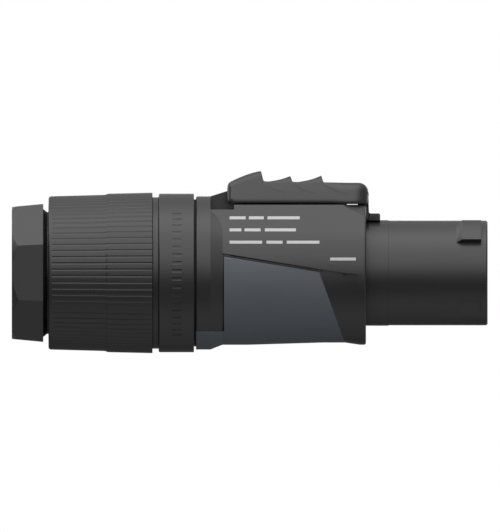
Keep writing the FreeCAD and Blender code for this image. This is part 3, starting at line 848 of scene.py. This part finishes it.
class CONNECTOR_OT_housing(bpy.types.Operator):
    """Build the front housing and the cover under it, with rounded edges"""

    bl_idname = "connector.housing"
    bl_label = "Housing"

    # Two points (x, z) of the slanted joint at the front of the cover
    joint = ((-8.95 * MM, 0.745 * MM), (-4 * MM, -13.02 * MM))
    # How far the cover is moved forward there, and how near its points and edges lie
    joint_fill = 0.034 * MM
    joint_point_reach = 0.06 * MM
    joint_edge_reach = 0.1 * MM
    # Places along X where the cone behind the body starts and ends
    cone_ends = (-29.07 * MM, -26.8 * MM)
    cone_reach = 0.02 * MM
    # The body's front edge lies outside this radius, at X 0
    shoulder_radius = 13 * MM
    shoulder_reach = 0.01 * MM
    shoulder_segments = 4

    def execute(self, context):
        sizes = context.scene.connector_sizes
        bm = merged_copy("housing")
        rim = [edge for edge in bm.edges if all(self.on_shoulder(vert.co) for vert in edge.verts)]
        bevel(bm, rim, sizes.shoulder_round, self.shoulder_segments)
        self.soften(bm, sizes.edge_round)
        place(bm, "housing_moulded", "housing", "housing_plastic", "housing")
        bm = merged_copy("underside_shell")
        front = [vert for vert in bm.verts if self.from_joint(vert.co) < self.joint_point_reach]
        bmesh.ops.translate(bm, vec=(self.joint_fill, 0, 0), verts=front)
        self.soften(bm, sizes.edge_round)
        place(bm, "underside_shell_moulded", "housing", "slate_plastic", "underside_shell")
        return {"FINISHED"}

    def soften(self, bm, offset):
        """Rounds the edges, apart from those that stay crisp."""
        round_edges(bm, offset, keep=self.stays_crisp)
        mark_creases(bm, self.stays_crisp)

    def on_shoulder(self, spot):
        """Whether a point lies on the body's front edge."""
        return abs(spot.x) < self.shoulder_reach and spot.yz.length > self.shoulder_radius

    def from_joint(self, spot):
        """Distance of a point from the slanted joint, seen from the side."""
        (x, z), (x_end, z_end) = self.joint
        along = Vector((x_end - x, z_end - z)).normalized()
        return abs((spot.x - x) * along.y - (spot.z - z) * along.x)

    def stays_crisp(self, edge):
        """Whether an edge lies along the joint or at an end of the cone behind the body."""
        for end in self.cone_ends:
            if all(abs(vert.co.x - end) < self.cone_reach for vert in edge.verts):
                return True
        return max(self.from_joint(vert.co) for vert in edge.verts) < self.joint_edge_reach


class CONNECTOR_OT_nut(bpy.types.Operator):
    """Build the rear nut with its eight-sided end"""

    bl_idname = "connector.nut"
    bl_label = "Gland nut"

    def execute(self, context):
        bm = merged_copy("gland_nut")
        round_edges(bm, context.scene.connector_sizes.edge_round)
        bm = boolean(bm, self.neck(), "UNION")
        place(bm, "gland_nut_moulded", "nut", "nut_plastic", "gland_nut")
        return {"FINISHED"}

    def neck(self):
        """Cone between the eight-sided end and the grip."""
        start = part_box("grip_sleeve")[0].x - 0.96 * MM
        back, flat, front = start - 0.3 * MM, start + 0.02 * MM, start + 0.76 * MM
        inner, high, low = 10.6 * MM, 11.95 * MM, 11.35 * MM
        return turned([(back, inner), (back, high), (flat, high), (front, low), (front, inner)])


class CONNECTOR_OT_grip(bpy.types.Operator):
    """Build the ribbed grip sleeve"""

    bl_idname = "connector.grip"
    bl_label = "Grip sleeve"

    def execute(self, context):
        sizes = context.scene.connector_sizes
        place(grip_ribs(sizes), "grip_ribbed_sleeve", "nut", "grip_plastic", "grip_sleeve")
        return {"FINISHED"}


GRIP_INNER = 13 * MM
# Rear rim: its radius, how far it lies under the sleeve's largest radius, and the angles round it
GRIP_RIM = 0.48 * MM
GRIP_RIM_DROP = 0.67 * MM
GRIP_RIM_TURNS = (90, 72, 54, 36, 18, 0)
# Place of the step behind the sleeve's front part
GRIP_STEP = 10.4 * MM
# Places from the rim, from the step and from the front, how far each lies under the largest
# radius, and the share of their depth that the grooves have there
AFTER_RIM = ((0.12 * MM, 0.665 * MM, 0.3), (0.3 * MM, 0.66 * MM, 1))
AT_STEP = (
    (0, 0.4 * MM, 1), (0.3 * MM, 0.35 * MM, 1), (0.6 * MM, 0.22 * MM, 1), (0.8 * MM, 0.18 * MM, 1))
AT_FRONT = ((-0.1 * MM, 0, 1), (-0.02 * MM, 0.04 * MM, 1), (0, 0.12 * MM, 1))
# Shares of the way across one wall of a groove
GROOVE_SHARES = (0, 0.2, 0.4, 0.6, 0.8, 1)


def grip_stations():
    """Places along the sleeve: X, radius and share of the grooves' depth."""
    low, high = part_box("grip_sleeve")
    rim_radius = high.z - GRIP_RIM_DROP
    stations = []
    for angle in GRIP_RIM_TURNS:
        turn = math.radians(angle)
        stations.append((
            low.x + GRIP_RIM * (1 - math.sin(turn)), rim_radius - GRIP_RIM * (1 - math.cos(turn)), 0))
    parts = ((low.x + GRIP_RIM, AFTER_RIM), (low.x + GRIP_STEP, AT_STEP), (high.x, AT_FRONT))
    for start, places in parts:
        stations += [(start + along, high.z - sunk, cut) for along, sunk, cut in places]
    return stations


def grip_ribs(sizes):
    """One rib with half a groove on each side, repeated round the sleeve."""
    low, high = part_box("grip_sleeve")
    pitch = TURN / sizes.rib_count
    bm = bmesh.new()
    rows = []
    for x, radius, cut in grip_stations():
        rows.append(rib_row(bm, x, radius, cut * sizes.rib_depth, pitch, sizes.rib_groove))
    for x in (high.x, low.x):
        rows.append(rib_row(bm, x, GRIP_INNER, 0, pitch, sizes.rib_groove))
    for row, following in zip(rows, rows[1:] + rows[:1]):
        bmesh.ops.bridge_loops(bm, edges=row + following)
    bmesh.ops.spin(
        bm, geom=bm.verts[:] + bm.edges[:] + bm.faces[:], cent=CENTRE, axis=AXIS,
        angle=TURN - pitch, steps=sizes.rib_count - 1, use_duplicate=True)
    bmesh.ops.remove_doubles(bm, verts=bm.verts, dist=MERGE_DISTANCE)
    bmesh.ops.recalc_face_normals(bm, faces=bm.faces)
    return bm


def rib_row(bm, x, radius, depth, pitch, groove):
    """Row of edges across one rib at a place along X, from groove middle to groove middle."""
    wall = groove / 2 / radius
    half = pitch / 2
    side = []
    for share in GROOVE_SHARES:
        side.append((wall * share - half, depth * (1 + math.cos(math.pi * share)) / 2))
    profile = side + [(0, 0)] + [(-angle, sunk) for angle, sunk in reversed(side)]
    verts = []
    for angle, sunk in profile:
        reach = radius - sunk
        verts.append(bm.verts.new((x, reach * math.sin(angle), reach * math.cos(angle))))
    return [bm.edges.new(pair) for pair in zip(verts, verts[1:])]


class CONNECTOR_OT_ring(bpy.types.Operator):
    """Build the collar ring with its row of sunk marks"""

    bl_idname = "connector.ring"
    bl_label = "Collar ring"

    inner = 13.4 * MM
    rear_chamfer = 0.2 * MM
    edge_round = 0.1 * MM
    steps = 124
    # Band of marks: how far its middle lies before the ring's, its half width and its angles
    band_forward = 0.1 * MM
    band_half_width = 0.95 * MM
    band_angles = (-51, 48)
    band_reach = 0.1 * MM
    # Plain margin round each mark and the run of its sides
    mark_margin = 0.1 * MM
    mark_side = 0.03 * MM

    def execute(self, context):
        low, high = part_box("collar_ring")
        radius = high.z
        middle = (low.x + high.x) / 2 + self.band_forward
        bm = turned([
            (low.x, self.inner), (low.x, radius - self.rear_chamfer), (low.x + self.rear_chamfer, radius),
            (middle - self.band_half_width, radius), (middle + self.band_half_width, radius),
            (high.x, radius), (high.x, self.inner)], self.steps)
        round_edges(bm, self.edge_round, segments=3, angle=40)
        marks = [face for face in bm.faces if self.is_mark(face.calc_center_median(), middle, radius)]
        depth = context.scene.connector_sizes.tick_depth
        bmesh.ops.inset_individual(bm, faces=marks, thickness=self.mark_margin, depth=0)
        bmesh.ops.inset_individual(bm, faces=marks, thickness=self.mark_side, depth=-depth)
        place(bm, "collar_marked_ring", "nut", "ring_plastic", "collar_ring")
        return {"FINISHED"}

    def is_mark(self, spot, middle, radius):
        """Whether a face with that middle is a mark: every second one in the band's angles."""
        if abs(spot.x - middle) > self.band_reach or spot.yz.length < radius - self.band_reach:
            return False
        first, last = self.band_angles
        angle = math.degrees(math.atan2(spot.z, -spot.y))
        return first < angle < last and round(angle / (360 / self.steps) - 0.5) % 2 == 0


class CONNECTOR_OT_thread(bpy.types.Operator):
    """Build the thread on the housing's spigot, which shows when the nut is off"""

    bl_idname = "connector.thread"
    bl_label = "Spigot thread"

    def execute(self, context):
        sizes = context.scene.connector_sizes
        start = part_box("housing")[0].x + 1.2 * MM
        radius = 11.6 * MM
        root = radius - 0.05 * MM
        crest = radius + sizes.thread_height
        foot_half = sizes.thread_pitch * 0.36
        crest_half = 0.35 * foot_half
        turns = 5
        steps = 72 * turns
        bm = bmesh.new()
        verts, edges = outline_loop(bm, [
            (start - foot_half, root), (start - crest_half, crest),
            (start + crest_half, crest), (start + foot_half, root)])
        ends = bmesh.ops.spin(
            bm, geom=verts + edges, cent=CENTRE, axis=AXIS, angle=TURN * turns, steps=steps,
            dvec=(sizes.thread_pitch * turns / steps, 0, 0))
        last = [part for part in ends["geom_last"] if isinstance(part, bmesh.types.BMEdge)]
        for loop in (edges, last):
            bmesh.ops.contextual_create(bm, geom=loop)
        bmesh.ops.recalc_face_normals(bm, faces=bm.faces)
        place(bm, "spigot_thread", "housing", "housing_plastic")
        return {"FINISHED"}


BODY_RADIUS = 13.44 * MM
FLAT_TILT = math.radians(35)


def side_of_body(z):
    """Y of the body's near side at a height: flat over the tangent line, round under it."""
    tangent = BODY_RADIUS * math.sin(FLAT_TILT)
    if z > tangent:
        return -(BODY_RADIUS * math.cos(FLAT_TILT) - (z - tangent) * math.tan(FLAT_TILT))
    return -math.sqrt(BODY_RADIUS * BODY_RADIUS - z * z)


class CONNECTOR_OT_print(bpy.types.Operator):
    """Build the plain printed bars on the near side of the body"""

    bl_idname = "connector.print"
    bl_label = "Printed bars"

    # Start, end and height of each bar, in millimetres
    bars = (
        (-25.5, -22.5, 10.3), (-21.9, -19.1, 10.3), (-18.4, -12.4, 10.3),
        (-25.5, -23.3, 8.05), (-22.7, -19.7, 8.05), (-18.9, -13.1, 8.05),
        (-25.5, -19.4, 5.75), (-18.6, -15.6, 5.75), (-14.8, -8.7, 5.75),
        (-6.7, -1.9, 2.6),
    )

    def execute(self, context):
        sizes = context.scene.connector_sizes
        bm = bmesh.new()
        for start, end, height in self.bars:
            made = bmesh.ops.create_grid(bm, x_segments=6, y_segments=3, size=0.5)["verts"]
            for vert in made:
                x = (start + (end - start) * (vert.co.x + 0.5)) * MM
                z = height * MM + sizes.ink_height * vert.co.y
                vert.co = (x, side_of_body(z) - sizes.ink_lift, z)
        bmesh.ops.recalc_face_normals(bm, faces=bm.faces)
        if sum(face.normal.y for face in bm.faces) > 0:
            bmesh.ops.reverse_faces(bm, faces=bm.faces)
        place(bm, "printed_bars", "housing", "ink")
        return {"FINISHED"}


class CONNECTOR_OT_insides(bpy.types.Operator):
    """Build the insulators, contacts, terminals, cable grip, seals and latch spring"""

    bl_idname = "connector.insides"
    bl_label = "Inner pieces"

    rounded = (
        "contact_carrier", "terminal_block", "cable_chuck", "cable_seal", "carrier_seal",
        "line_contact", "neutral_contact", "earth_contact", "line_clamp", "neutral_clamp",
        "earth_clamp", "terminal_screws",
    )
    # Place along X where the latch spring rests on the housing, and how far the latch presses it
    spring_end = -22 * MM
    latch_travel = 4 * MM
    # How near the nut the seal's lip lies, and how near it is pressed
    lip_reach = 0.1 * MM
    lip_gap = 0.002 * MM

    def execute(self, context):
        sizes = context.scene.connector_sizes
        for node in self.rounded:
            rounded_node(node, sizes.inner_round)
        self.seal(sizes.seal_round)
        self.spring()
        return {"FINISHED"}

    def spring(self):
        """Latch spring, a copy of the frame's coil with a mesh of its own."""
        bm = merged_copy("latch_spring")
        piece = place(bm, "latch_spring_coil", "housing", "plated_steel", "latch_spring")
        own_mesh(piece)

    def seal(self, offset):
        """Body seal, with its lip pressed against the front of the nut."""
        bm = merged_copy("body_seal")
        nut_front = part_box("collar_ring")[1].x
        for vert in bm.verts:
            if 0 < vert.co.x - nut_front < self.lip_reach:
                vert.co.x = nut_front + self.lip_gap
        round_edges(bm, offset)
        place(bm, "body_seal_moulded", "housing", "seal_rubber", "body_seal")


# Light from all round, in even steps of the angle from behind the object, under it, past the
# camera and over it to behind it again
SURROUND = (
    0.32, 0.16, 0.09, 0.12, 0.25, 0.34, 0.46, 0.54, 0.51, 0.32, 0.18, 0.15, 0.70,
    1.62, 2.00, 2.02, 2.30, 2.68, 2.36, 1.45, 0.80, 0.56, 0.42, 0.36, 0.32,
)
SURROUND_PEAK = 3.0
# Light from the mating end and from the cable end: heights between which its level changes, its
# level under and over them, and how far along X it takes over from the light all round
END_LIGHTS = (
    ((-0.1, 0.1), (0.42, 0.33), (0.35, 0.9)),
    ((0.3, 0.6), (0.25, 2.4), (-0.35, -0.75)),
)


def grey(level):
    """Colour of a level of light, as a share of the peak."""
    return (level / SURROUND_PEAK,) * 3


class CONNECTOR_OT_stage(bpy.types.Operator):
    """Build the floor, the soft light all round and the camera"""

    bl_idname = "connector.stage"
    bl_label = "Stage"

    floor_half_width = 3
    floor_gap = 0.1 * MM
    camera_width = 99.44 * MM
    camera_spot = (-21.68 * MM, -0.5, 1.295 * MM)

    def execute(self, context):
        self.floor(context, cad_box[0].z - self.floor_gap)
        self.surround(context)
        self.camera(context)
        context.scene.view_settings.view_transform = "Standard"
        return {"FINISHED"}

    def floor(self, context, height):
        """Plain pale floor under the object."""
        bm = bmesh.new()
        bmesh.ops.create_grid(bm, x_segments=1, y_segments=1, size=self.floor_half_width)
        bmesh.ops.translate(bm, vec=(0, 0, height), verts=bm.verts)
        mesh = bpy.data.meshes.new("floor")
        bm.to_mesh(mesh)
        bm.free()
        floor = bpy.data.objects.new("floor", mesh)
        context.scene.collection.objects.link(floor)
        material, tree, principled, spot = shader("floor")
        tone = context.scene.connector_colours.floor
        grain = noise(tree, spot, FLOOR_GRAIN)
        feed(tree, principled, Base_Color=tint(tree, grain, tone, vary=0.01))
        principled.inputs["Roughness"].default_value = 0.9
        mesh.materials.append(material)
        floor.visible_diffuse = False
        floor.visible_glossy = False

    def surround(self, context):
        """Light by direction, on a white background."""
        world = bpy.data.worlds.new("surround")
        context.scene.world = world
        world.use_nodes = True
        tree = world.node_tree
        nodes, links = tree.nodes, tree.links
        parts = nodes.new("ShaderNodeSeparateXYZ")
        links.new(nodes.new("ShaderNodeTexCoord").outputs["Generated"], parts.inputs["Vector"])
        towards = nodes.new("ShaderNodeMath")
        towards.operation = "MULTIPLY"
        towards.inputs[1].default_value = -1
        links.new(parts.outputs["Y"], towards.inputs[0])
        around = nodes.new("ShaderNodeMath")
        around.operation = "ARCTAN2"
        links.new(parts.outputs["Z"], around.inputs[0])
        links.new(towards.outputs["Value"], around.inputs[1])
        share = remap(tree, around.outputs["Value"], -math.pi, math.pi)
        ramp = nodes.new("ShaderNodeValToRGB")
        stops = ramp.color_ramp.elements
        for index, level in enumerate(SURROUND):
            spot = index / (len(SURROUND) - 1)
            stop = stops.new(spot) if index else stops[0]
            stop.position = spot
            stop.color = (*grey(level), 1)
        links.new(share, ramp.inputs["Fac"])
        whole = ramp.outputs["Color"]
        for heights, levels, shares in END_LIGHTS:
            height = remap(tree, parts.outputs["Z"], *heights, easing="SMOOTHSTEP")
            end = mix(tree, height, *[grey(level) for level in levels])
            along = remap(tree, parts.outputs["X"], *shares, easing="SMOOTHSTEP")
            whole = mix(tree, along, whole, end)
        fill = nodes["Background"]
        fill.inputs["Strength"].default_value = SURROUND_PEAK
        links.new(whole, fill.inputs["Color"])
        white = nodes.new("ShaderNodeBackground")
        white.inputs["Color"].default_value = (1, 1, 1, 1)
        both = nodes.new("ShaderNodeMixShader")
        links.new(nodes.new("ShaderNodeLightPath").outputs["Is Camera Ray"], both.inputs["Fac"])
        links.new(fill.outputs["Background"], both.inputs[1])
        links.new(white.outputs["Background"], both.inputs[2])
        links.new(both.outputs["Shader"], nodes["World Output"].inputs["Surface"])

    def camera(self, context):
        """Camera square on to the near side, at the photo's framing."""
        lens = bpy.data.cameras.new("camera")
        lens.type = "ORTHO"
        lens.ortho_scale = self.camera_width
        obj = bpy.data.objects.new("camera", lens)
        obj.location = self.camera_spot
        obj.rotation_euler = (math.pi / 2, 0, 0)
        context.scene.collection.objects.link(obj)
        context.scene.camera = obj


class CONNECTOR_PT_panel(bpy.types.Panel):
    """Lists the connector's pieces"""

    bl_idname = "CONNECTOR_PT_panel"
    bl_label = "Connector"
    bl_space_type = "VIEW_3D"
    bl_region_type = "UI"
    bl_category = "Connector"

    def draw(self, context):
        for operator in OPERATORS:
            self.layout.operator(operator.bl_idname)


OPERATORS = (
    CONNECTOR_OT_stage, CONNECTOR_OT_housing, CONNECTOR_OT_latch, CONNECTOR_OT_nut, CONNECTOR_OT_grip,
    CONNECTOR_OT_ring, CONNECTOR_OT_thread, CONNECTOR_OT_print, CONNECTOR_OT_insides,
)
CLASSES = (ConnectorSizes, ConnectorColours, *OPERATORS, CONNECTOR_PT_panel)


def register():
    for cls in CLASSES:
        bpy.utils.register_class(cls)
    bpy.types.Scene.connector_sizes = bpy.props.PointerProperty(type=ConnectorSizes)
    bpy.types.Scene.connector_colours = bpy.props.PointerProperty(type=ConnectorColours)


def unregister():
    del bpy.types.Scene.connector_colours
    del bpy.types.Scene.connector_sizes
    for cls in reversed(CLASSES):
        bpy.utils.unregister_class(cls)


def main():
    register()
    bpy.ops.connector.stage()
    bpy.ops.connector.housing()
    bpy.ops.connector.latch()
    bpy.ops.connector.nut()
    bpy.ops.connector.grip()
    bpy.ops.connector.ring()
    bpy.ops.connector.thread()
    bpy.ops.connector.print()
    bpy.ops.connector.insides()


if __name__ == "__main__":
    main()
